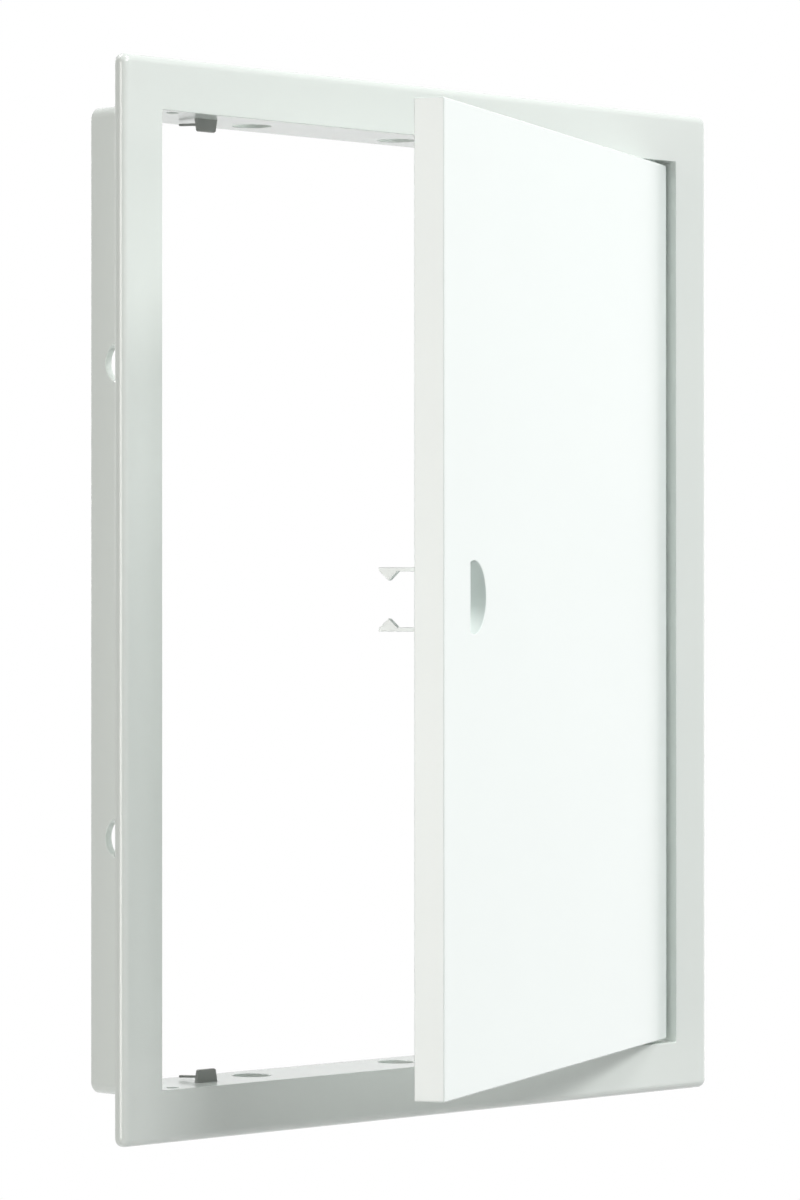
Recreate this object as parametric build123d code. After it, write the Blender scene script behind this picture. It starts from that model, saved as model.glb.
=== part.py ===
from build123d import *
import os

# Access panel door, moulded in white plastic: a flanged frame that sits in a
# hole in a wall, and a shallow door that hangs in it on two pins.
# Millimetres. The origin is the middle of the opening, on the wall's surface,
# which is the back of the flange. X runs right to the hinges, Y runs back
# into the wall and Z runs up.

# Frame: opening, collar and flange
opening_width = 191.6
opening_height = 241.6
collar_wall = 2.2
collar_depth = 21.0
collar_corner_radius = 3.0
flange_lap = 11.0
flange_thickness = 3.0
flange_corner_radius = 2.4
flange_edge_round = 1.3
opening_edge_round = 0.8

# Holes through the collar for its fixings
fixing_hole_radius = 5.0
fixing_hole_depth = 10.5
fixing_side_offset = 59.0
fixing_top_offset = 52.5

# Door: a tray with its skin at the front
door_gap = 1.0
door_depth = 7.6
door_skin_thickness = 2.0
door_rim_wall = 1.8
door_edge_round = 0.4
door_hinge_edge_round = 2.5
door_rest_angle = 25.0

# Hinge: a pin at each end of the door turns in a hole in the collar
hinge_inset = 6.9
pin_radius = 1.6
pin_running_clearance = 0.06
pin_reach_past_door = 2.8
pin_boss_length = 9.0
pin_boss_height = 5.0

# Finger pull: a D-shaped scoop near the free edge
pull_straight_edge_inset = 19.7
pull_arc_radius = 8.9
pull_arc_reach = 11.8
pull_raised = 0.6
pull_cup_wall = 1.2
pull_floor_past_arc = 1.0

# Latch: two hooks on the door close round a keeper on the frame
hook_inset = 3.8
hook_width = 2.0
hook_arm_thickness = 1.0
hook_arm_outer_height = 7.7
hook_reach_past_door = 10.4
hook_tip_face = 0.8
hook_tip_ramp = 2.6
hook_barb_height = 2.2
hook_base_thickness = 2.0
hook_base_margin = 1.3
keeper_clearance = 0.3
keeper_reach = 8.3
keeper_length = 4.0
keeper_gap_to_door = 2.4
keeper_ramp = 1.5

# Stops: dark clips in the top and bottom of the collar, behind the rim
stop_inset = 23.3
stop_width = 6.6
stop_tip_taper = 0.5
stop_thickness = 1.2
stop_projection = 3.2
stop_gap_to_door = 1.0
stop_edge_chamfer = 0.4
stop_foot_depth = 1.0
stop_tail_length = 9.0
stop_tail_width = 0.9
stop_tail_thickness = 0.7
stop_tail_gap = 0.45
stop_tail_end_round = 0.3

# Ribs across the back of the door
rib_thickness = 1.6
rib_height = 3.4
rib_spacing = 64.0

# Places worked out from the sizes above
half_width = opening_width / 2
half_height = opening_height / 2
outer_half_width = half_width + collar_wall
outer_half_height = half_height + collar_wall
flange_half_width = outer_half_width + flange_lap
flange_half_height = outer_half_height + flange_lap
front = -flange_thickness
door_half_width = half_width - door_gap
door_half_height = half_height - door_gap
door_back = front + door_depth
skin_back = front + door_skin_thickness
tray_half_width = door_half_width - door_rim_wall
tray_half_height = door_half_height - door_rim_wall
hinge_x = half_width - hinge_inset
hinge_y = front + door_depth / 2
beyond = 1.0


def block(x0, x1, y0, y1, z0, z1):
    """A box from its lowest to its highest corner."""
    size = (x1 - x0, y1 - y0, z1 - z0)
    middle = ((x0 + x1) / 2, (y0 + y1) / 2, (z0 + z1) / 2)
    return Pos(*middle) * Box(*size)


def frame_block(half_x, half_z, y0, y1):
    """A box centred on the opening."""
    return block(-half_x, half_x, y0, y1, -half_z, half_z)


def upright_edges(shape):
    """The edges that run along Y, from front to back."""
    return shape.edges().filter_by(Axis.Y)


def edges_on_front(shape):
    """The edges that lie in the front face."""
    return shape.edges().group_by(Axis.Y)[0]


def side_view(points, x0, x1):
    """A solid with an outline in Y and Z, from x0 to x1."""
    outline = [Vector(x0, y, z) for y, z in points]
    face = Face(Polyline(*outline, close=True))
    return Solid.extrude(face, Vector(x1 - x0, 0, 0))


def mirrored_in_z(shape):
    return mirror(shape, about=Plane.XY)


def flange_plate():
    """The flat flange, rounded round its outer front edge."""
    plate = frame_block(flange_half_width, flange_half_height, front, 0)
    plate = fillet(upright_edges(plate), flange_corner_radius)
    return fillet(edges_on_front(plate), flange_edge_round)


def in_opening(point):
    """True for a point within the collar's wall, seen from the front."""
    return abs(point.X) < outer_half_width and abs(point.Z) < outer_half_height


def collar_block(y1):
    """The collar's outer shape, filled in, from the front face back to y1."""
    solid = frame_block(outer_half_width, outer_half_height, front, y1)
    return fillet(upright_edges(solid), collar_corner_radius)


def whole_frame():
    """Flange and collar as the one moulding that they are."""
    moulding = flange_plate() + collar_block(collar_depth)
    moulding -= frame_block(half_width, half_height, front, collar_depth)
    opening_edges = [edge for edge in edges_on_front(moulding) if in_opening(edge.center())]
    return fillet(opening_edges, opening_edge_round)


def upright_hole(x, y, radius):
    """A drill along Z through the top and the bottom of the collar."""
    return Pos(x, y, 0) * Cylinder(radius, 2 * outer_half_height + beyond)


def cross_hole(y, z, radius):
    """A drill along X through both sides of the collar."""
    return Pos(0, y, z) * Rot(0, 90, 0) * Cylinder(radius, 2 * outer_half_width + beyond)


def drilled_frame():
    """The frame with its fixing holes, and a pivot hole in each corner."""
    drilled = whole_frame()
    for x in (-fixing_top_offset, 0, fixing_top_offset):
        drilled -= upright_hole(x, fixing_hole_depth, fixing_hole_radius)
    for z in (-fixing_side_offset, fixing_side_offset):
        drilled -= cross_hole(fixing_hole_depth, z, fixing_hole_radius)
    for x in (-hinge_x, hinge_x):
        drilled -= upright_hole(x, hinge_y, pin_radius + pin_running_clearance)
    return drilled


def face_flange(frame):
    """The part of the flange that stands out past the collar."""
    ring = frame & frame_block(flange_half_width, flange_half_height, front, 0)
    return ring - collar_block(0)


def collar_top(collar):
    """The top of the collar, between its two sides."""
    return collar & block(-half_width, half_width, front, collar_depth, half_height, outer_half_height)


def collar_right(collar):
    """The right side of the collar, with its rounded corners."""
    tall = outer_half_height
    return collar & block(half_width, outer_half_width, front, collar_depth, -tall, tall)


def stop_place():
    """The stop's middle in X, and where its body starts and ends in Y."""
    start = door_back + stop_gap_to_door
    return -half_width + stop_inset, start, start + stop_thickness


def stop_foot():
    """The root of the stop, sunk in the collar's wall."""
    x, start, end = stop_place()
    reach = half_height + stop_foot_depth
    return block(x - stop_width / 2, x + stop_width / 2, start, end, half_height, reach)


def door_stop():
    """The upper stop: a tapered body on a sunk foot, with a thin tail."""
    x, start, end = stop_place()
    half = stop_width / 2
    tip = half_height - stop_projection
    outline = [
        Vector(x - half, start, half_height),
        Vector(x + half, start, half_height),
        Vector(x + half - stop_tip_taper, start, tip),
        Vector(x - half + stop_tip_taper, start, tip),
    ]
    body = Solid.extrude(Face(Polyline(*outline, close=True)), Vector(0, stop_thickness, 0))
    tip_edges = body.edges().group_by(Axis.Z)[0]
    body = chamfer(tip_edges, stop_edge_chamfer)
    tail_top = half_height - stop_tail_gap
    tail = block(
        x - stop_tail_width / 2,
        x + stop_tail_width / 2,
        end,
        end + stop_tail_length,
        tail_top - stop_tail_thickness,
        tail_top,
    )
    tail_end_edges = tail.edges().group_by(Axis.Y)[-1].filter_by(Axis.X)
    tail = fillet(tail_end_edges, stop_tail_end_round)
    return body + stop_foot() + tail


def whole_tray():
    """The door as the one moulding that it is: a shallow tray, open at the back."""
    tray = frame_block(door_half_width, door_half_height, front, door_back)
    hinge_corner = edges_on_front(tray).sort_by(Axis.X)[-1]
    tray = fillet(hinge_corner, door_hinge_edge_round)
    tray -= frame_block(tray_half_width, tray_half_height, skin_back, door_back)
    outer_edges = [edge for edge in edges_on_front(tray) if edge.center().X < hinge_x]
    return fillet(outer_edges, door_edge_round)


def pull_outline(grow):
    """The D of the finger pull, grown by a wall, as a face in the front plane."""
    straight = -door_half_width + pull_straight_edge_inset
    arc_centre = straight + pull_arc_reach - pull_arc_radius
    plane = Plane(origin=(0, front, 0), x_dir=(1, 0, 0), z_dir=(0, -1, 0))
    disc = Pos(arc_centre, pull_raised) * Circle(pull_arc_radius + grow)
    side = 2 * (pull_arc_radius + grow)
    left = straight - grow
    keep = Pos(left + side / 2, pull_raised) * Rectangle(side, side)
    return plane * (disc & keep)


def pull_prism(grow, y0, y1):
    """The D carried back from y0 to y1."""
    face = Pos(0, y0 - front, 0) * pull_outline(grow)
    return extrude(face, amount=y1 - y0, dir=(0, 1, 0))


def finger_pull():
    """The cup behind the D, and its scoop: deepest at the straight edge, shallow at the arc."""
    straight = -door_half_width + pull_straight_edge_inset
    cup = pull_prism(pull_cup_wall, skin_back, door_back)
    section = Ellipse(pull_arc_reach + pull_floor_past_arc, door_depth - pull_cup_wall)
    scoop = extrude(section, amount=2 * pull_arc_radius, both=True)
    scoop = Pos(straight, front, pull_raised) * scoop
    return cup - (pull_prism(0, front, door_back) & scoop)


def door_skin(tray):
    """The front of the tray, with the D cut through it."""
    skin = tray & frame_block(door_half_width, door_half_height, front, skin_back)
    return skin - pull_prism(0, front, skin_back)


def door_rim_top(tray):
    """The top edge of the tray, behind the skin, over its whole width."""
    wide = door_half_width
    return tray & block(-wide, wide, skin_back, door_back, tray_half_height, door_half_height)


def door_rim_hinge(tray):
    """The edge at the pins, between the top and the bottom edge."""
    tall = tray_half_height
    return tray & block(tray_half_width, door_half_width, skin_back, door_back, -tall, tall)


def door_rim_free(tray):
    """The edge away from the pins, between the top and the bottom edge."""
    tall = tray_half_height
    return tray & block(-door_half_width, -tray_half_width, skin_back, door_back, -tall, tall)


def pin_boss():
    """The upper boss: a block inside the rim that backs the pin."""
    left = tray_half_width - pin_boss_length
    low = tray_half_height - pin_boss_height
    return block(left, tray_half_width, skin_back, door_back, low, tray_half_height)


def pivot_pin():
    """The upper pin, standing on the door's top edge."""
    pin = Pos(hinge_x, hinge_y, door_half_height + pin_reach_past_door / 2)
    return pin * Cylinder(pin_radius, pin_reach_past_door)


def hook_x_range():
    """Where both hooks start and end in X."""
    right = -door_half_width + hook_inset + hook_width
    return right - hook_width, right


def latch_base():
    """The pad on the back of the skin that carries both hooks."""
    x0, x1 = hook_x_range()
    half = hook_arm_outer_height + hook_base_margin
    right = x1 + hook_base_margin
    return block(-tray_half_width, right, skin_back, skin_back + hook_base_thickness, -half, half)


def latch_hook():
    """The upper hook: a thin arm with a barb that points at the keeper."""
    x0, x1 = hook_x_range()
    root = skin_back + hook_base_thickness
    tip = door_back + hook_reach_past_door
    outer = hook_arm_outer_height
    inner = outer - hook_arm_thickness
    barb = inner - hook_barb_height
    points = [
        (root, inner),
        (root, outer),
        (tip, outer),
        (tip, outer - hook_tip_face),
        (tip - hook_tip_ramp, barb),
        (tip - hook_tip_ramp - hook_barb_height, inner),
    ]
    return side_view(points, x0, x1)


def catch_keeper():
    """The keeper on the collar's left side, between the barbs."""
    half = hook_arm_outer_height - hook_arm_thickness - hook_barb_height - keeper_clearance
    start = door_back + keeper_gap_to_door
    end = start + keeper_length
    nose = half - keeper_ramp
    points = [
        (start, -nose),
        (start + keeper_ramp, -half),
        (end, -half),
        (end, half),
        (start + keeper_ramp, half),
        (start, nose),
    ]
    return side_view(points, -half_width, -half_width + keeper_reach)


def cross_rib(z, left):
    """A rib across the back of the skin, from left to the hinge rim."""
    half = rib_thickness / 2
    return block(left, tray_half_width, skin_back, skin_back + rib_height, z - half, z + half)


def at_rest(shape):
    """A piece of the door, modelled shut, turned open about the hinge pins."""
    pivot = Pos(hinge_x, hinge_y, 0)
    return pivot * Rot(0, 0, door_rest_angle) * pivot.inverse() * shape


def frame_pieces():
    frame = drilled_frame()
    collar = frame & collar_block(collar_depth)
    top = collar_top(collar) - stop_foot()
    right = collar_right(collar)
    left = mirror(right, about=Plane.YZ)
    stop = door_stop()
    return {
        "face_flange": face_flange(frame),
        "collar_top": top,
        "collar_bottom": mirrored_in_z(top),
        "collar_left": left,
        "collar_right": right,
        "catch_keeper": catch_keeper(),
        "door_stop_upper": stop,
        "door_stop_lower": mirrored_in_z(stop),
    }


def door_pieces():
    tray = whole_tray()
    rim_top = door_rim_top(tray)
    hook = latch_hook()
    boss = pin_boss()
    pin = pivot_pin()
    right_of_pull = -door_half_width + pull_straight_edge_inset + pull_arc_reach + pull_cup_wall
    return {
        "door_skin": door_skin(tray),
        "door_rim_top": rim_top,
        "door_rim_bottom": mirrored_in_z(rim_top),
        "door_rim_free": door_rim_free(tray),
        "door_rim_hinge": door_rim_hinge(tray),
        "door_rib_upper": cross_rib(rib_spacing, -tray_half_width),
        "door_rib_middle": cross_rib(pull_raised, right_of_pull),
        "door_rib_lower": cross_rib(-rib_spacing, -tray_half_width),
        "finger_pull_cup": finger_pull(),
        "latch_base": latch_base(),
        "latch_hook_upper": hook,
        "latch_hook_lower": mirrored_in_z(hook),
        "pin_boss_upper": boss,
        "pin_boss_lower": mirrored_in_z(boss),
        "pivot_pin_upper": pin,
        "pivot_pin_lower": mirrored_in_z(pin),
    }


def only_solid(shape):
    """The one solid of a piece, without a wrapper round it."""
    solids = shape.solids()
    if len(solids) != 1:
        raise ValueError("a piece came out as %d solids" % len(solids))
    return solids[0]


os.makedirs("parts", exist_ok=True)
pieces = frame_pieces()
for name, shape in door_pieces().items():
    pieces[name] = at_rest(shape)
for name, shape in pieces.items():
    export_step(only_solid(shape), "parts/" + name + ".step")
    print(name, round(shape.volume, 1))
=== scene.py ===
# %% [markdown]
# # An access panel door, dressed for the camera
#
# The real object is a small inspection hatch, moulded in white ABS. A flanged frame sits in a hole in a wall, and
# a shallow door hangs in it on two pins. This lesson builds its looks round the solids of the CAD model. Those
# solids say where everything is, so nothing here is fitted by eye: each piece is made in the model's own place.
#
# Lengths are typed in millimetres, as on a drawing, and turned to metres where a mesh is made.

# %% Load the fixed frame
import math

import bmesh
import bpy
from mathutils import Matrix, Vector


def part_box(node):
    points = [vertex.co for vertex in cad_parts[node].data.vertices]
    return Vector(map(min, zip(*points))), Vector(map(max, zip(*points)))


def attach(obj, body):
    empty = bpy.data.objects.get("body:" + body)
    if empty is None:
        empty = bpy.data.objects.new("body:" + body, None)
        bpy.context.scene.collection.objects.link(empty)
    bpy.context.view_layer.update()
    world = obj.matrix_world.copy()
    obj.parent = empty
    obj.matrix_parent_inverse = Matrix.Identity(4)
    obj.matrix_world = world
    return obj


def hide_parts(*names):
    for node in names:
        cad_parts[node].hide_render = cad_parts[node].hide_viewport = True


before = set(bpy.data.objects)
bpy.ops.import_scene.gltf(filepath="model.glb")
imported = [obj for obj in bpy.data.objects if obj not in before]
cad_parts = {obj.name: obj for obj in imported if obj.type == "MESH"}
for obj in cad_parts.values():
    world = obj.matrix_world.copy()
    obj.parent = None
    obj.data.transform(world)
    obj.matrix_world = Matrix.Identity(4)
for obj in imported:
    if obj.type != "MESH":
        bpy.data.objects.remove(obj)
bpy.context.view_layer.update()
MM = 0.001

# %% [markdown]
# ## The camera
#
# The picture was taken from the left, level with the middle of the panel, through a long lens, so upright edges
# stay parallel. The camera's place and turn were solved from the corners of the flange and the door. They are
# written as the three directions of the camera, which say exactly what it sees.

# %% Place the camera
camera_place = Vector((-0.90889, -0.88339, -0.00447))
camera_right = Vector((0.70064, -0.71351, -0.00023))
camera_up = Vector((-0.0025, -0.00278, 0.99999))
camera_back = camera_right.cross(camera_up).normalized()
camera_turn = Matrix((camera_right, camera_up, camera_back)).transposed()
camera_data = bpy.data.cameras.new("camera")
camera_data.lens = 145.8
camera_data.sensor_width = 36
camera_data.clip_start = 0.05
camera_data.clip_end = 20
camera = bpy.data.objects.new("camera", camera_data)
bpy.context.scene.collection.objects.link(camera)
camera.matrix_world = Matrix.Translation(camera_place) @ camera_turn.to_4x4()
bpy.context.scene.camera = camera
print("the camera looks along", [round(-value, 3) for value in camera_back])

# %% [markdown]
# ## Nodes
#
# Materials and Geometry Nodes are both built from nodes. One small function adds a node, sets what is a number and
# links what is another node's socket. Colours are written as on the web, in sRGB, and the renderer wants them
# linear, so one function turns them.

# %% Node and colour helpers
def add_node(tree, kind, settings=None, inputs=None):
    """Adds a node: settings are its own properties, and inputs are numbers or the sockets that feed it."""
    node = tree.nodes.new(kind)
    for name, value in (settings or {}).items():
        setattr(node, name, value)
    for name, value in (inputs or {}).items():
        if isinstance(value, bpy.types.NodeSocket):
            tree.links.new(value, node.inputs[name])
        else:
            node.inputs[name].default_value = value
    return node


def linear(hex_colour):
    """An sRGB colour such as "E2E7E3" as linear red, green, blue and alpha."""
    parts = [int(hex_colour[i:i + 2], 16) / 255 for i in (0, 2, 4)]
    return [p / 12.92 if p <= 0.04045 else ((p + 0.055) / 1.055) ** 2.4 for p in parts] + [1.0]


print("mid grey 808080 is", round(linear("808080")[0], 3), "in linear light")

# %% [markdown]
# ## Moulded plastic
#
# The panel is injection moulded in ABS, which has an IOR of about 1.54. The steel mould is spark eroded, and leaves
# a satin skin of tiny pits, about 0.1 mm wide. That is finer than a pixel here, so the pits are drawn 0.35 mm wide
# and only a few thousandths of a millimetre deep. Where the melt slowed down, the skin is a little more or less
# matt and the white a little warmer or cooler. Those clouds are some centimetres wide.
#
# The stops are moulded from a grey plastic that looks dark beside the white. Their grey here is lighter than that
# plastic's own: the extra lightness is painted light, for faces that lie in shade. Their skin is coarser and duller.

# %% A moulded plastic
ABS_IOR = 1.54


def moulded_plastic(name, shade, cloud_shade, roughness, grain_width, grain_depth, cloud_width):
    """A moulded skin: clouds of tone and of gloss, and a fine grain of pits. Widths and depth in millimetres."""
    material = bpy.data.materials.new(name)
    material.use_nodes = True
    tree = material.node_tree
    tree.nodes.clear()
    place = add_node(tree, "ShaderNodeTexCoord").outputs["Object"]
    cloud = add_node(tree, "ShaderNodeTexNoise", inputs={
        "Vector": place, "Scale": 1 / (cloud_width * MM), "Detail": 3.0, "Roughness": 0.45})
    tone = add_node(tree, "ShaderNodeMix", {"data_type": "RGBA"}, {"Factor": cloud.outputs["Fac"]})
    tone.inputs[6].default_value = linear(shade)  # a colour Mix keeps its A, B and Result at 6, 7 and 2
    tone.inputs[7].default_value = linear(cloud_shade)
    gloss = add_node(tree, "ShaderNodeMapRange", inputs={
        "Value": cloud.outputs["Fac"], "To Min": roughness[0], "To Max": roughness[1]})
    pits = add_node(tree, "ShaderNodeTexNoise", inputs={
        "Vector": place, "Scale": 1 / (grain_width * MM), "Detail": 2.0, "Roughness": 0.6})
    bump = add_node(tree, "ShaderNodeBump", inputs={
        "Height": pits.outputs["Fac"], "Distance": grain_depth * MM, "Strength": 1.0})
    shader = add_node(tree, "ShaderNodeBsdfPrincipled", inputs={
        "Base Color": tone.outputs[2], "Roughness": gloss.outputs["Result"], "Normal": bump.outputs["Normal"],
        "IOR": ABS_IOR})
    add_node(tree, "ShaderNodeOutputMaterial", inputs={"Surface": shader.outputs["BSDF"]})
    return material


print("the plastics have an IOR of", ABS_IOR)

# %% Make the three plastics
satin = {"roughness": (0.13, 0.21), "grain_width": 0.35, "grain_depth": 0.004, "cloud_width": 45}
coarse = {"roughness": (0.4, 0.6), "grain_width": 0.5, "grain_depth": 0.02, "cloud_width": 6}
frame_abs = moulded_plastic("white ABS of the frame", "E8EEE9", "E5EBE7", **satin)
# the door's white is a shade lighter than the frame's: painted light, for the stronger light that falls on the door
door_abs = moulded_plastic("white ABS of the door, painted lighter", "EFF6F3", "EDF4F1", **satin)
# the stops' grey is painted lighter than their dark plastic, as painted light for their shaded faces
stop_plastic = moulded_plastic("grey plastic of the stops, painted lighter", "A6A7A4", "9C9D9A", **coarse)
print("plastics:", frame_abs.name + ",", door_abs.name + ",", stop_plastic.name)

# %% [markdown]
# ## From points to pieces
#
# Every moulding here is a stack of closed rings, each a little larger, smaller or further on than the last. A skin
# between neighbouring rings gives the shape with its rounded edges, and the last ring is either capped or joined
# to the first. A ring keeps the same count of points all along, so the skin is made of four-sided faces.

# %% Points to a piece
def piece_from(name, points, faces, material):
    """A new object at the origin, from points in millimetres, with its faces turned outwards."""
    work = bmesh.new()
    corners = [work.verts.new(Vector(point) * MM) for point in points]
    for face in faces:
        work.faces.new([corners[i] for i in face])
    bmesh.ops.remove_doubles(work, verts=work.verts, dist=1e-7)
    bmesh.ops.recalc_face_normals(work, faces=work.faces)
    mesh = bpy.data.meshes.new(name)
    work.to_mesh(mesh)
    work.free()
    mesh.materials.append(material)
    return add_object(name, mesh)


def add_object(name, mesh):
    """A mesh as an object of the scene, at the origin."""
    piece = bpy.data.objects.new(name, mesh)
    bpy.context.scene.collection.objects.link(piece)
    return piece


def side_faces(ring_count, count):
    """Four-sided faces between each ring and the next, for rings of count points."""
    return [(a * count + i, a * count + (i + 1) % count, (a + 1) * count + (i + 1) % count, (a + 1) * count + i)
            for a in range(ring_count - 1) for i in range(count)]


print("two rings of four points are joined by", side_faces(2, 4))

# %% Rings to a piece
def skin(name, rings, material, ends="capped"):
    """A skin over rings of equal count. Its ends are capped, or joined to each other."""
    count = len(rings[0])
    points = [point for ring in rings for point in ring]
    faces = side_faces(len(rings), count)
    if ends == "joined":
        last = len(points) - count
        faces += [(last + i, last + (i + 1) % count, (i + 1) % count, i) for i in range(count)]
    else:
        faces.append(tuple(range(count)))
        faces.append(tuple(range(len(points) - count, len(points))))
    return piece_from(name, points, faces, material)


def quarter(steps):
    """How far a rounded edge has come in and gone along, both from 0 to 1, over a quarter turn."""
    turns = [math.pi / 2 * step / steps for step in range(steps + 1)]
    return [(1 - math.cos(turn), math.sin(turn)) for turn in turns]


def round_turns(sides):
    """The turns of a full circle's points."""
    return [2 * math.pi * side / sides for side in range(sides)]


CORNERS = ((1, 1), (-1, 1), (-1, -1), (1, -1))
LEAST_RADIUS = 0.05  # no corner that is drawn in gets sharper than this


def rounded_box_ring(half_a, half_b, radius, steps=8):
    """Points round a rectangle with round corners, centred on nought."""
    ring = []
    for corner, (side_a, side_b) in enumerate(CORNERS):
        for step in range(steps + 1):
            turn = math.pi / 2 * (corner + step / steps)
            a = side_a * (half_a - radius) + radius * math.cos(turn)
            b = side_b * (half_b - radius) + radius * math.sin(turn)
            ring.append((a, b))
    return ring


print("a rounded rectangle has", len(rounded_box_ring(1, 1, 0.2)), "points")

# %% [markdown]
# ## From modifiers to a plain mesh
#
# Cuts, bevels and Geometry Nodes work as modifiers. Their result is made the piece's own mesh, because a plain mesh
# goes anywhere. A cut can leave two points almost on top of each other, so they are merged. Shading is smooth, with
# normals led by the large faces: flat faces stay flat, and the light rolls only over the rounded edges.

# %% Finish a mesh
MERGE_DISTANCE = 2e-6
CREASE = math.radians(35)


def settle(piece):
    """Makes what the modifiers give the piece's own plain mesh, and drops them."""
    result = piece.evaluated_get(bpy.context.evaluated_depsgraph_get())
    mesh = bpy.data.meshes.new_from_object(result)
    piece.modifiers.clear()
    piece.data = mesh
    return piece


def clean(piece):
    """Merges the points that a cut leaves on top of each other."""
    work = bmesh.new()
    work.from_mesh(piece.data)
    bmesh.ops.remove_doubles(work, verts=work.verts, dist=MERGE_DISTANCE)
    bmesh.ops.dissolve_degenerate(work, edges=work.edges, dist=MERGE_DISTANCE / 2)
    work.to_mesh(piece.data)
    work.free()
    return piece


def shade(piece):
    """Smooth over rounded edges, flat on flat faces: large faces lead, and sharp creases stay sharp."""
    piece.data.shade_smooth()
    piece.data.set_sharp_from_angle(angle=CREASE)
    weighted = piece.modifiers.new("weighted normals", "WEIGHTED_NORMAL")
    weighted.keep_sharp = True
    weighted.weight = 50
    return settle(piece)


print("points nearer than", round(MERGE_DISTANCE / MM, 4), "mm are merged")

# %% [markdown]
# ## The frame
#
# Flange and collar are one moulding, and its section is the same all the way round. So the frame is that section
# carried round the opening: each point of the section becomes a ring. The flange's outer front edge is well rounded
# and the others are only broken, as on the real thing. A small round fills the root between flange and collar.

# %% Read the frame's sizes from the solids
collar_low, collar_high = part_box("collar_right")
opening_x = collar_low.x / MM
collar_x = collar_high.x / MM
collar_z = collar_high.z / MM
collar_back = collar_high.y / MM
collar_wall = collar_x - opening_x
taller_by = 25  # how much further the opening reaches up than sideways
opening_z = opening_x + taller_by
flange_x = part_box("face_flange")[1].x / MM
flange_out = flange_x - opening_x
front = collar_low.y / MM
print("the opening is", round(2 * opening_x, 2), "by", round(2 * opening_z, 2), "and the front at Y", round(front, 2))

# %% Draw the section
inside_radius = 0.3  # these three are corner radii, seen from the front
flange_corner = 2.4
collar_corner = 3.0
front_round = 0.2  # these four round the section's own edges
flange_round = 2.1
back_round = 0.3
root_round = 0.5
section = []  # how far out from the opening's edge, Y, and the ring's corner radius
for inward, along in quarter(6):
    out = front_round * inward
    section.append((out, front + front_round * (1 - along), inside_radius + out))
for inward, along in quarter(8):
    out = flange_out - flange_round + flange_round * along
    section.append((out, front + flange_round * inward, flange_corner - flange_out + out))
for inward, along in quarter(3):
    out = flange_out - back_round * inward
    section.append((out, -back_round + back_round * along, flange_corner - back_round * inward))
for inward, along in quarter(5):
    out = collar_wall + root_round * (1 - along)
    section.append((out, root_round * inward, collar_corner + root_round * (1 - along)))
for inward, along in quarter(4):
    out = collar_wall - back_round * inward
    section.append((out, collar_back - back_round * (1 - along), collar_corner - back_round * inward))
for inward, along in quarter(4):
    out = back_round * (1 - along)
    section.append((out, collar_back - back_round * inward, inside_radius + out))
print("the section has", len(section), "points")

# %% Carry the section round the opening
rings = []
for out, y, radius in section:
    ring = rounded_box_ring(opening_x + out, opening_z + out, radius)
    rings.append([(x, y, z) for x, z in ring])
frame_moulding = skin("frame_moulding", rings, frame_abs, ends="joined")
print("frame moulding:", len(rings), "rings,", len(frame_moulding.data.polygons), "faces")

# %% [markdown]
# ## The holes
#
# The collar has ten 10 mm holes for wall plugs and a small pivot hole at each corner, so that the door can hang on
# either side. The same hole repeats, so Geometry Nodes drill it: a cutter is set on each point of a list, turned
# along that point's drilling direction, and taken away from the frame. The cutter widens at both faces of the
# wall, which leaves the broken edge of a moulded hole.

# %% Helpers for Geometry Nodes
def node_group(name, sockets):
    """A Geometry Nodes tree with a mesh in and out and named inputs. Returns it with its input node."""
    group = bpy.data.node_groups.new(name, "GeometryNodeTree")
    group.interface.new_socket("Geometry", in_out="INPUT", socket_type="NodeSocketGeometry")
    for label, kind in sockets:
        group.interface.new_socket(label, in_out="INPUT", socket_type=kind)
    group.interface.new_socket("Geometry", in_out="OUTPUT", socket_type="NodeSocketGeometry")
    return group, add_node(group, "NodeGroupInput")


def end_group(group, mesh, material):
    """Ends a tree: real geometry, in the given material, goes out."""
    real = add_node(group, "GeometryNodeRealizeInstances", inputs={"Geometry": mesh})
    coated = add_node(group, "GeometryNodeSetMaterial", inputs={
        "Geometry": real.outputs["Geometry"], "Material": material})
    add_node(group, "NodeGroupOutput", inputs={"Geometry": coated.outputs["Geometry"]})
    print("the tree", group.name, "has", len(group.nodes), "nodes")


def use_group(piece, group, values):
    """Puts the tree on a piece as a modifier, with its inputs set by their identifiers."""
    modifier = piece.modifiers.new(group.name, "NODES")
    modifier.node_group = group
    for item in group.interface.items_tree:
        if item.item_type == "SOCKET" and item.in_out == "INPUT" and item.name in values:
            modifier[item.identifier] = values[item.name]
    return settle(piece)


print("a tree can be started, ended and put on a piece")

# %% Build the drilling tree
drill, given = node_group("drill holes", [
    ("Holes", "NodeSocketObject"), ("Cutter", "NodeSocketObject"), ("Material", "NodeSocketMaterial")])
places = add_node(drill, "GeometryNodeObjectInfo", inputs={"Object": given.outputs["Holes"]})
cutter_shape = add_node(drill, "GeometryNodeObjectInfo", inputs={"Object": given.outputs["Cutter"]})
direction = add_node(drill, "GeometryNodeInputNamedAttribute", {"data_type": "FLOAT_VECTOR"}, {
    "Name": "drill_direction"})
turned = add_node(drill, "FunctionNodeAlignRotationToVector", {"axis": "Z"}, {
    "Vector": direction.outputs["Attribute"]})
placed = add_node(drill, "GeometryNodeInstanceOnPoints", inputs={
    "Points": places.outputs["Geometry"], "Instance": cutter_shape.outputs["Geometry"],
    "Rotation": turned.outputs["Rotation"]})
cutters = add_node(drill, "GeometryNodeRealizeInstances", inputs={"Geometry": placed.outputs["Instances"]})
drilled = add_node(drill, "GeometryNodeMeshBoolean", {"operation": "DIFFERENCE", "solver": "EXACT"}, {
    "Mesh 1": given.outputs["Geometry"], "Mesh 2": cutters.outputs["Geometry"]})
end_group(drill, drilled.outputs["Mesh"], given.outputs["Material"])

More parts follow.
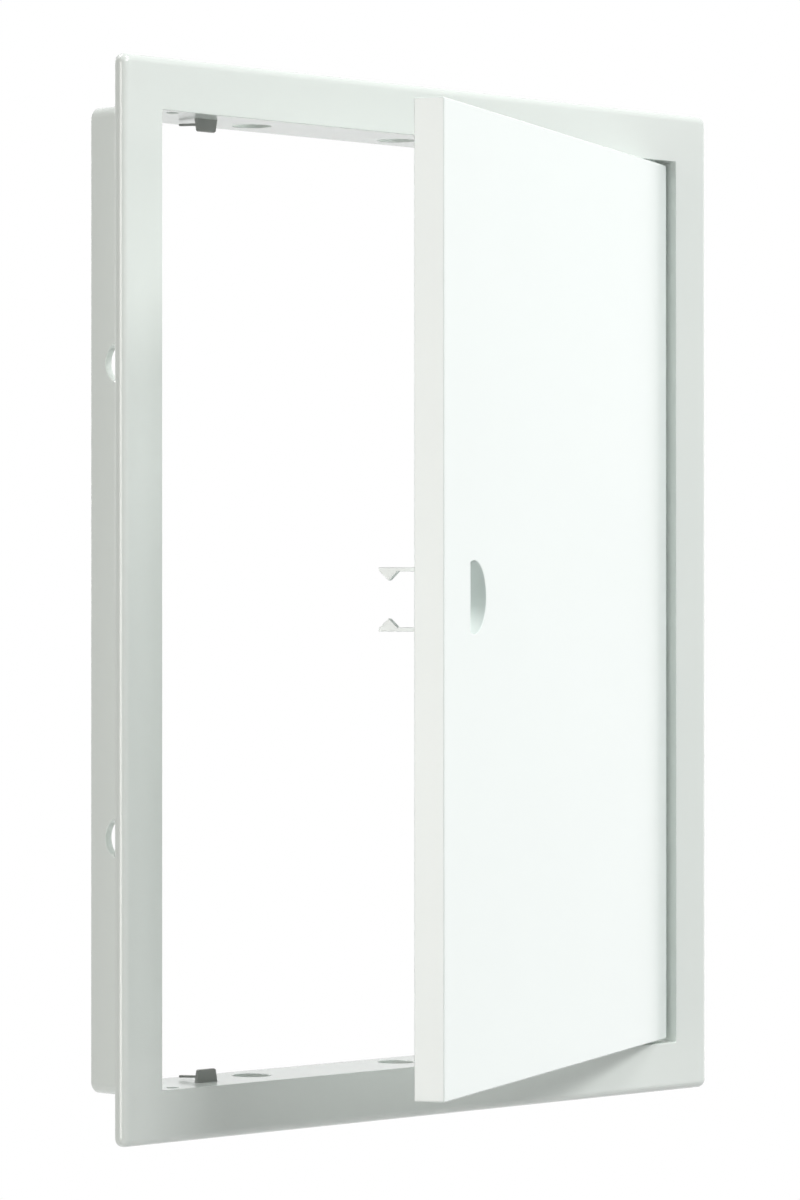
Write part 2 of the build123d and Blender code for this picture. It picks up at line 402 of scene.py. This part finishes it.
# %% List the holes
fixing_y = 10.5
side_fixings_z = (-59, 59)
end_fixings_x = (-52.5, 0, 52.5)
hinge_x = 88.9
hinge_y = 0.8
wall_x = (opening_x + collar_x) / 2
wall_z = (opening_z + collar_z) / 2
fixing_holes = [((side * wall_x, fixing_y, z), (side, 0, 0)) for side in (-1, 1) for z in side_fixings_z]
fixing_holes += [((x, fixing_y, side * wall_z), (0, 0, side)) for side in (-1, 1) for x in end_fixings_x]
pivot_holes = [((x, hinge_y, side * wall_z), (0, 0, side)) for side in (-1, 1) for x in (-hinge_x, hinge_x)]
hole_kinds = (  # a name, the holes, their radius and the width of their broken edge
    ("fixing holes", fixing_holes, 5.0, 0.2),
    ("pivot holes", pivot_holes, 1.66, 0.15),
)
print(len(fixing_holes), "fixing holes and", len(pivot_holes), "pivot holes")

# %% Drill the frame
def hole_list(name, holes):
    """Loose points that carry their drilling directions, for the tree to read."""
    mesh = bpy.data.meshes.new(name)
    mesh.from_pydata([Vector(point) * MM for point, way in holes], [], [])
    ways = mesh.attributes.new("drill_direction", "FLOAT_VECTOR", "POINT")
    for i, (point, way) in enumerate(holes):
        ways.data[i].vector = way
    return add_object(name, mesh)


def hole_cutter(radius, edge_round):
    """A cutter through the wall that widens at both faces, so that the hole's edges are broken."""
    half = collar_wall / 2
    profile = (
        (radius + 2 * edge_round, -half - edge_round), (radius, -half + edge_round),
        (radius, half - edge_round), (radius + 2 * edge_round, half + edge_round))
    rings = [[(r * math.cos(turn), r * math.sin(turn), z) for turn in round_turns(sides=64)] for r, z in profile]
    return skin("cutter", rings, frame_abs)


for name, holes, radius, edge_round in hole_kinds:
    points = hole_list(name, holes)
    cutter = hole_cutter(radius, edge_round)
    use_group(frame_moulding, drill, {"Holes": points, "Cutter": cutter, "Material": frame_abs})
    bpy.data.objects.remove(points)
    bpy.data.objects.remove(cutter)
clean(frame_moulding)
shade(frame_moulding)
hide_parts("face_flange", "collar_top", "collar_bottom", "collar_left", "collar_right")
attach(frame_moulding, "frame")
print("frame moulding:", len(frame_moulding.data.polygons), "faces")

# %% [markdown]
# ## The door
#
# The door is a shallow tray, open at the back. Seen from above, its outline has a broad round on the hinge side,
# which lets it turn in its frame, and crisp edges elsewhere. That outline is carried up the door, and drawn in a
# little at both ends for the top and bottom edges. It is modelled shut, in the frame, and turned open at the end.

# %% The door's sizes
door_gap = 1.0
door_depth = 7.6
skin_thickness = 2.0
rim_thickness = 1.8
door_round = 0.4
hinge_round = 2.5
rim_round = 0.2
door_x = opening_x - door_gap
door_z = opening_z - door_gap
door_back = front + door_depth
skin_back = front + skin_thickness
tray_x = door_x - rim_thickness
tray_z = door_z - rim_thickness
print("door:", round(2 * door_x, 2), "by", round(2 * door_z, 2), "by", round(door_back - front, 2))

# %% Make the door's outer shape
def door_outline(inset, steps=8):
    """The door seen from above, drawn in by inset, as X and Y."""
    corners = (
        (door_x - inset, door_back - inset / 2, rim_round),
        (-door_x + inset, door_back - inset / 2, rim_round),
        (-door_x + inset, front + inset, door_round),
        (door_x - inset, front + inset, hinge_round),
    )
    ring = []
    for corner, (x, y, radius) in enumerate(corners):
        side_x, side_y = CORNERS[corner]
        small = max(radius - inset, LEAST_RADIUS)
        for step in range(steps + 1):
            turn = math.pi / 2 * (corner + step / steps)
            ring.append((x - side_x * small + small * math.cos(turn), y - side_y * small + small * math.sin(turn)))
    return ring


rings = []
for end in (-1, 1):
    stack = [(door_round * inward, end * (door_z - door_round * (1 - along))) for inward, along in quarter(5)]
    for inset, z in (reversed(stack) if end < 0 else stack):
        rings.append([(x, y, z) for x, y in door_outline(inset)])
door_moulding = skin("door_moulding", rings, door_abs)
print("the door's block:", len(door_moulding.data.polygons), "faces")

# %% [markdown]
# ## Cutting and joining
#
# The tray's hollow and the scoop of the finger pull are cut out, and the ribs, the bosses that back the pins, the
# pad under the hooks and the cup round the scoop are joined on, as they are all one moulding. Each cutter or
# addition is a small skin of its own, and a Boolean modifier takes it away or adds it.

# %% Helpers for cutting and joining
below_skin = 0.6  # how far an addition reaches into the skin


def combine(piece, other, operation):
    """Takes the other mesh away from the piece, or adds it, and deletes the other."""
    modifier = piece.modifiers.new(operation.lower(), "BOOLEAN")
    modifier.operation = operation
    modifier.object = other
    modifier.solver = "EXACT"
    settle(piece)
    bpy.data.objects.remove(other)
    return clean(piece)


def block_ring(x0, x1, z0, z1, y, inset, radius):
    """A rounded rectangle across X and Z at one depth, drawn in by inset."""
    middle_x, middle_z = (x0 + x1) / 2, (z0 + z1) / 2
    ring = rounded_box_ring((x1 - x0) / 2 - inset, (z1 - z0) / 2 - inset, max(radius - inset, LEAST_RADIUS), steps=5)
    return [(middle_x + x, y, middle_z + z) for x, z in ring]


def hollow(x0, x1, z0, z1, floor, mouth, radius, root):
    """A cutter with a rounded root at its floor and a broken edge at its mouth."""
    rings = [block_ring(x0, x1, z0, z1, floor + root * (1 - along), root * inward, radius)
             for inward, along in reversed(quarter(4))]
    rings += [block_ring(x0, x1, z0, z1, mouth - rim_round * (1 - along), -rim_round * inward, radius)
              for inward, along in quarter(3)]
    past_mouth = 2
    rings.append(block_ring(x0, x1, z0, z1, mouth + past_mouth, -rim_round, radius))
    return skin("hollow", rings, door_abs)


def pad(x0, x1, z0, z1, height, radius, root=0.5, edge=0.3):
    """A block on the back of the skin, with a rounded root and broken edges."""
    rings = [block_ring(x0, x1, z0, z1, skin_back - below_skin, -root, radius)]
    rings += [block_ring(x0, x1, z0, z1, skin_back + root * inward, -root * (1 - along), radius)
              for inward, along in quarter(4)]
    rings += [block_ring(x0, x1, z0, z1, skin_back + height - edge * (1 - along), edge * inward, radius)
              for inward, along in quarter(3)]
    return skin("pad", rings, door_abs)


print("a block's ring has", len(block_ring(0, 2, 0, 2, 0, 0, 0.5)), "points")

# %% Hollow the tray, and add the bosses and the hooks' pad
sunk = 0.5  # how far an addition reaches into a rim, and a rib into the skin
tray_corner = 0.8
tray_root = 0.5
boss_wide = 9
boss_high = 5
boss_below_rim = 0.3
pad_half_height = 9
pad_height = 2.0
hook_x0 = -door_x + 3.8
hook_x1 = hook_x0 + 2.0
pad_past_hooks = 1.3
combine(door_moulding, hollow(-tray_x, tray_x, -tray_z, tray_z, skin_back, door_back, tray_corner, tray_root),
        "DIFFERENCE")
for side in (-1, 1):
    boss_z = sorted((side * (tray_z - boss_high), side * (tray_z + sunk)))
    boss_height = door_back - skin_back - boss_below_rim
    combine(door_moulding, pad(tray_x - boss_wide, tray_x + sunk, *boss_z, boss_height, radius=0.3), "UNION")
hooks_pad = pad(-tray_x - sunk, hook_x1 + pad_past_hooks, -pad_half_height, pad_half_height, pad_height, radius=0.4)
combine(door_moulding, hooks_pad, "UNION")
print("the tray is hollow, with two bosses and a pad")

# %% [markdown]
# ## The finger pull
#
# A fingertip goes through a D-shaped hole and behind its straight edge. The hollow has upright walls and a level
# floor that turns up steeply behind the arc, so the cutter's floor follows a squared-off ellipse. A cup of the same
# D, one wall larger, stands on the back of the skin and closes it.

# %% The D and a solid through it
pull_straight = -door_x + 19.7
pull_arc_radius = 8.9
pull_reach = 11.8
pull_raised = 0.6
pull_wall = 1.2


def pull_ring(grow, steps=40):
    """The D, grown by a wall, as X and Z, from one end of its straight edge round the arc to the other."""
    centre = pull_straight + pull_reach - pull_arc_radius
    radius = pull_arc_radius + grow
    half = math.acos((pull_straight - grow - centre) / radius)
    turns = [-half + 2 * half * step / steps for step in range(steps + 1)]
    return [(centre + radius * math.cos(turn), pull_raised + radius * math.sin(turn)) for turn in turns]


def pull_solid(name, walls, floor_depth=None):
    """A D-shaped solid through rings of grow and Y. Its far end is flat, or follows floor_depth of X."""
    rings = [[(x, y, z) for x, z in pull_ring(grow)] for grow, y in walls]
    if floor_depth is not None:
        rings[-1] = [(x, floor_depth(x), z) for x, y, z in rings[-1]]
    count = len(rings[0])
    points = [point for ring in rings for point in ring]
    faces = side_faces(len(rings), count)
    faces.append(tuple(range(count)))
    last = len(points) - count
    for i in range(count // 2):  # strips across the D, because a curved floor isn't one flat face
        j = count - 1 - i
        faces.append((last + i, last + i + 1, last + j - 1, last + j) if i + 1 < j - 1 else
                     (last + i, last + i + 1, last + j))
    return piece_from(name, points, faces, door_abs)


print("the D has", len(pull_ring(0)), "points")

# %% Stand the cup on the skin
cup_root = 0.5
cup_edge = 0.4
cup_walls = [(pull_wall + cup_root, skin_back - below_skin)]
cup_walls += [(pull_wall + cup_root * (1 - along), skin_back + cup_root * inward) for inward, along in quarter(4)]
cup_walls += [(pull_wall - cup_edge * inward, door_back - cup_edge * (1 - along)) for inward, along in quarter(3)]
combine(door_moulding, pull_solid("cup", cup_walls), "UNION")
print("the cup is", round(door_back - skin_back, 2), "mm high")

# %% [markdown]
# ## Ribs
#
# Three ribs stiffen the back of the door. A rib is one section carried along a line, so Geometry Nodes make them:
# the lines become curves, and a rectangle with rounded corners is carried along each. The middle rib ends at the
# cup, so the scoop is cut out after it.

# %% Build the rib tree
rib_tree, given = node_group("ribs along lines", [
    ("Thickness", "NodeSocketFloat"), ("Height", "NodeSocketFloat"), ("Edge round", "NodeSocketFloat"),
    ("Material", "NodeSocketMaterial")])
lines = add_node(rib_tree, "GeometryNodeMeshToCurve", inputs={"Mesh": given.outputs["Geometry"]})
rib_section = add_node(rib_tree, "GeometryNodeCurvePrimitiveQuadrilateral", inputs={
    "Width": given.outputs["Thickness"], "Height": given.outputs["Height"]})
rib_rounded = add_node(rib_tree, "GeometryNodeFilletCurve", {"mode": "POLY"}, {
    "Curve": rib_section.outputs["Curve"], "Radius": given.outputs["Edge round"], "Count": 4})
swept = add_node(rib_tree, "GeometryNodeCurveToMesh", inputs={
    "Curve": lines.outputs["Curve"], "Profile Curve": rib_rounded.outputs["Curve"], "Fill Caps": True})
end_group(rib_tree, swept.outputs["Mesh"], given.outputs["Material"])

# %% Add the ribs
rib_thickness = 1.6
rib_height = 3.4
rib_edge = 0.3
outer_rib_z = 64
rib_depth = rib_height + sunk
rib_y = skin_back - sunk + rib_depth / 2
cup_right = pull_straight + pull_reach + pull_wall
rib_starts = ((-tray_x - sunk, outer_rib_z), (cup_right - sunk, pull_raised), (-tray_x - sunk, -outer_rib_z))
rib_points = []
rib_lines = []
for left, z in rib_starts:
    rib_lines.append((len(rib_points), len(rib_points) + 1))
    rib_points += [Vector((left, rib_y, z)) * MM, Vector((tray_x + sunk, rib_y, z)) * MM]
rib_mesh = bpy.data.meshes.new("ribs")
rib_mesh.from_pydata(rib_points, rib_lines, [])
ribs = add_object("ribs", rib_mesh)
use_group(ribs, rib_tree, {
    "Thickness": rib_thickness * MM, "Height": rib_depth * MM, "Edge round": rib_edge * MM, "Material": door_abs})
print("ribs:", len(rib_lines), "with", len(ribs.data.polygons), "faces")
combine(door_moulding, ribs, "UNION")

# %% Cut the scoop
floor_past_arc = 1.0
squareness = 6  # 2 would be a plain ellipse
scoop_edge = 0.25
pull_depth = door_back - front - pull_wall


def scoop_floor(x):
    """How deep the scoop is at X: a level floor that turns up steeply behind the arc."""
    share = (x - pull_straight) / (pull_reach + floor_past_arc)
    return front + pull_depth * (1 - share ** squareness) ** (1 / squareness)


scoop_walls = [(scoop_edge * 1.5, front - 1.0)]  # it starts in front of the skin, a little wider
scoop_walls += [(scoop_edge * (1 - along), front + scoop_edge * inward) for inward, along in quarter(4)]
scoop_walls += [(0, door_back)]
combine(door_moulding, pull_solid("scoop", scoop_walls, scoop_floor), "DIFFERENCE")
print("the scoop is", round(pull_depth, 2), "mm deep")

# %% [markdown]
# ## Opening the door
#
# The door is turned by 25 degrees about its pins. The turn goes into the mesh, so that the object itself stays at
# the origin, as the CAD solids do.

# %% Turn the door open
rest_angle = math.radians(25)
pivot = Vector((hinge_x, hinge_y, 0)) * MM
rest_turn = Matrix.Translation(pivot) @ Matrix.Rotation(rest_angle, 4, "Z") @ Matrix.Translation(-pivot)


def hang(piece, *nodes):
    """Turns a piece of the door open and lets it ride on the door, in place of its CAD nodes."""
    piece.data.transform(rest_turn)
    shade(piece)
    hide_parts(*nodes)
    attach(piece, "door")


hang(door_moulding, "door_skin", "door_rim_top", "door_rim_bottom", "door_rim_free", "door_rim_hinge",
     "door_rib_upper", "door_rib_middle", "door_rib_lower", "finger_pull_cup", "latch_base",
     "pin_boss_upper", "pin_boss_lower")
print("door moulding:", len(door_moulding.data.polygons), "faces")

# %% [markdown]
# ## Hooks, pins and keeper
#
# Two hooks on the door snap over a keeper on the frame, and two pins hang the door. The hooks and the keeper are
# straight lengths of one outline, so an outline and two ends make each of them. A Bevel modifier breaks the edges,
# because even a crisp moulding has a round of about 0.15 mm, which catches the light. A pin is a stack of circles.

# %% The hooks' outline
def straight_piece(name, outline, start, end, material, bevel):
    """An outline of Y and Z carried straight along X, with broken edges."""
    rings = [[(x, y, z) for y, z in outline] for x in (start, end)]
    piece = skin(name, rings, material)
    rounding = piece.modifiers.new("broken edges", "BEVEL")
    rounding.width = bevel * MM
    rounding.segments = 3
    rounding.limit_method = "ANGLE"
    rounding.angle_limit = math.radians(20)
    return settle(piece)


hook_root = skin_back + pad_height - 0.4
hook_tip = door_back + 10.4
hook_outer = 7.7
hook_inner = hook_outer - 1.0
hook_barb = hook_inner - 2.2
barb_length = 2.6
barb_slope = 2.2
hook_outline = (
    (hook_root, hook_inner), (hook_root, hook_outer), (hook_tip, hook_outer), (hook_tip, hook_outer - 0.8),
    (hook_tip - barb_length, hook_barb), (hook_tip - barb_length - barb_slope, hook_inner))
print("a hook is", round(hook_tip - hook_root, 2), "mm long")

# %% Make the hooks and the pins
pin_root = door_z - 0.4
pin_end = door_z + 2.8
pin_profile = ((1.6, pin_root), (1.6, pin_end - 0.4), (1.5, pin_end - 0.15), (1.3, pin_end))  # radius and Z
for place_name, side in (("upper", 1), ("lower", -1)):
    outline = [(y, side * z) for y, z in hook_outline]
    hook = straight_piece("latch_hook_" + place_name + "_moulded", outline, hook_x0, hook_x1, door_abs, bevel=0.12)
    hang(hook, "latch_hook_" + place_name)
    pin_rings = [[(hinge_x + radius * math.cos(turn), hinge_y + radius * math.sin(turn), side * z)
                  for turn in round_turns(sides=32)] for radius, z in pin_profile]
    pin = skin("pivot_pin_" + place_name + "_moulded", pin_rings, door_abs)
    hang(pin, "pivot_pin_" + place_name)
print("two hooks, and two pins", round(pin_end - pin_root, 2), "mm long")

# %% Make the keeper
keeper_low, keeper_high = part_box("catch_keeper")
keeper_start, keeper_end = keeper_low.y / MM, keeper_high.y / MM
keeper_half = keeper_high.z / MM
keeper_ramp = 1.5
keeper_sunk = 0.4
keeper_outline = (
    (keeper_start, keeper_half - keeper_ramp), (keeper_start, -keeper_half + keeper_ramp),
    (keeper_start + keeper_ramp, -keeper_half), (keeper_end, -keeper_half),
    (keeper_end, keeper_half), (keeper_start + keeper_ramp, keeper_half))
keeper = straight_piece("catch_keeper_moulded", keeper_outline, -opening_x - keeper_sunk, keeper_high.x / MM,
                        frame_abs, bevel=0.2)
shade(keeper)
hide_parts("catch_keeper")
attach(keeper, "frame")
print("a keeper,", round(2 * keeper_half, 2), "mm high")

# %% [markdown]
# ## Stops
#
# A small grey clip at the top and bottom of the opening stops the shut door. It tapers from the wall to its tip, so
# it is a stack of rounded rectangles, and a thin tail runs back from it and leans towards the wall.

# %% Make the stops
stop_x = -opening_x + 23.3
stop_start = door_back + 1.0
stop_end = stop_start + 1.2
stop_tip = 3.2
stop_corner = 0.25
stop_rings = (  # half the width, the distance from the wall, and how far the faces are drawn in
    (3.5, -0.9, 0), (3.5, 0, 0), (3.0, stop_tip - 0.4, 0), (2.88, stop_tip - 0.15, 0.1), (2.7, stop_tip, 0.35))
tail_length = 9.0
tail_lean = 0.5
tail_z = opening_z - 1.25
tail_corner = 0.08
tail_rings = (  # the distance behind the clip, and half the width and height
    (-0.3, 0.45, 0.3), (tail_length - 0.3, 0.45, 0.3), (tail_length - 0.08, 0.4, 0.22), (tail_length, 0.3, 0.1))


def stop_tail(side):
    """The thin tail of the stop on one side, 1 for the upper and -1 for the lower."""
    rings = []
    for y, half_x, half_z in tail_rings:
        level = tail_z + tail_lean * max(0, y) / tail_length
        rings.append([(stop_x + x, stop_end + y, side * (level + z))
                      for x, z in rounded_box_ring(half_x, half_z, tail_corner, steps=3)])
    return skin("tail", rings, stop_plastic)


for place_name, side in (("upper", 1), ("lower", -1)):
    rings = []
    for half, off_wall, draw in stop_rings:
        level = side * (opening_z - off_wall)
        ring = block_ring(stop_x - half, stop_x + half, stop_start + draw, stop_end - draw / 2, 0, 0, stop_corner)
        rings.append([(point[0], point[2], level) for point in ring])  # laid flat, at its own level
    stop = skin("door_stop_" + place_name + "_moulded", rings, stop_plastic)
    combine(stop, stop_tail(side), "UNION")
    shade(stop)
    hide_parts("door_stop_" + place_name)
    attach(stop, "frame")
print("two stops,", stop_tip, "mm high")

# %% [markdown]
# ## Floor and surroundings
#
# The panel hangs in front of plain white, well above a plain pale floor. The camera sees the white, and the glossy
# plastic mirrors it. Light Path tells what kind of ray asks, so the white gives no soft light of its own: all of
# that comes from the lamps.

# %% Build the floor and the world
WHITE = (1, 1, 1, 1)


def clear_nodes(block):
    """Turns nodes on for a material or a world, and gives its empty tree."""
    block.use_nodes = True
    block.node_tree.nodes.clear()
    return block.node_tree


def seen_directly(tree):
    """1 for the rays of the camera, of mirrors and of glass, and 0 for the light that falls on things."""
    path = add_node(tree, "ShaderNodeLightPath")
    seen_or_mirrored = add_node(tree, "ShaderNodeMath", {"operation": "MAXIMUM"}, {
        0: path.outputs["Is Camera Ray"], 1: path.outputs["Is Glossy Ray"]})
    in_view = add_node(tree, "ShaderNodeMath", {"operation": "MAXIMUM"}, {
        0: seen_or_mirrored.outputs[0], 1: path.outputs["Is Transmission Ray"]})
    return in_view.outputs[0]


floor_level = -500
floor_radius = 2200
floor_glow = 0.6
floor_material = bpy.data.materials.new("pale floor")
tree = clear_nodes(floor_material)
glow_share = add_node(tree, "ShaderNodeMath", {"operation": "MULTIPLY"}, {0: seen_directly(tree), 1: floor_glow})
paint = add_node(tree, "ShaderNodeBsdfDiffuse", inputs={"Color": linear("BEBEBE")})
glow = add_node(tree, "ShaderNodeEmission", inputs={"Color": WHITE, "Strength": glow_share.outputs[0]})
both = add_node(tree, "ShaderNodeAddShader", inputs={0: paint.outputs[0], 1: glow.outputs[0]})
add_node(tree, "ShaderNodeOutputMaterial", inputs={"Surface": both.outputs[0]})
floor_ring = [(floor_radius * math.cos(turn), floor_radius * math.sin(turn), floor_level)
              for turn in round_turns(sides=96)]
floor = piece_from("floor", floor_ring, [tuple(range(len(floor_ring)))], floor_material)

world = bpy.data.worlds.new("studio")
tree = clear_nodes(world)
backdrop = add_node(tree, "ShaderNodeBackground", inputs={"Color": WHITE, "Strength": seen_directly(tree)})
add_node(tree, "ShaderNodeOutputWorld", inputs={"Surface": backdrop.outputs[0]})
bpy.context.scene.world = world
print("a floor", -floor_level, "mm below the panel, and a white world")

# %% [markdown]
# ## Lamps
#
# Seven soft lamps light the panel. The three in front and above do most of the work, as the shading of the real one
# shows: the open door keeps them off the left and the bottom of the frame. A lamp at each side lights the collar's
# side and the door's free edge. Both are wide, because the glossy plastic mirrors them, and a small lamp would end
# as a hard line on the door. The left one is a little warm, as the photo's left sides are. Two lamps behind light
# the inside of the collar and the back.
#
# A lamp's brightness is written as what it does to a white card that faces it: 1 would make the card just white.

# %% Place the lamps
white_light = (1, 1, 1)
warm_light = (1, 0.975, 0.945)
lamps = (  # a name, its direction from the panel, its size in metres, its brightness and its colour
    ("front lamp", (0.09, -0.84, 0.53), 0.9, 0.350, white_light),
    ("right front lamp", (0.45, -0.65, 0.6), 0.6, 0.250, white_light),
    ("high lamp", (0.3, -0.4, 0.9), 1.0, 0.442, white_light),
    ("left lamp", (-0.97, -0.2, 0.0), 1.4, 0.415, warm_light),
    ("wide right lamp", (1.0, 0.0, 0.05), 2.6, 0.120, white_light),
    ("back lamp", (-0.1, 0.5, 0.85), 1.0, 0.386, white_light),
    ("low back lamp", (0.0, 0.966, 0.26), 1.6, 0.240, white_light),
)
lamp_distance = 3.0
for name, direction, size, brightness, colour in lamps:
    lamp = bpy.data.lights.new(name, "AREA")
    lamp.shape = "SQUARE"
    lamp.size = size
    lamp.color = colour
    lamp.energy = brightness * math.pi ** 2 * lamp_distance ** 2
    holder = bpy.data.objects.new(name, lamp)
    towards = Vector(direction).normalized()
    holder.location = towards * lamp_distance
    holder.rotation_euler = (-towards).to_track_quat("-Z", "Y").to_euler()
    bpy.context.scene.collection.objects.link(holder)
    print(name, "brightness", brightness)

# %% Render settings and the sizes
bpy.context.scene.view_settings.view_transform = "Standard"
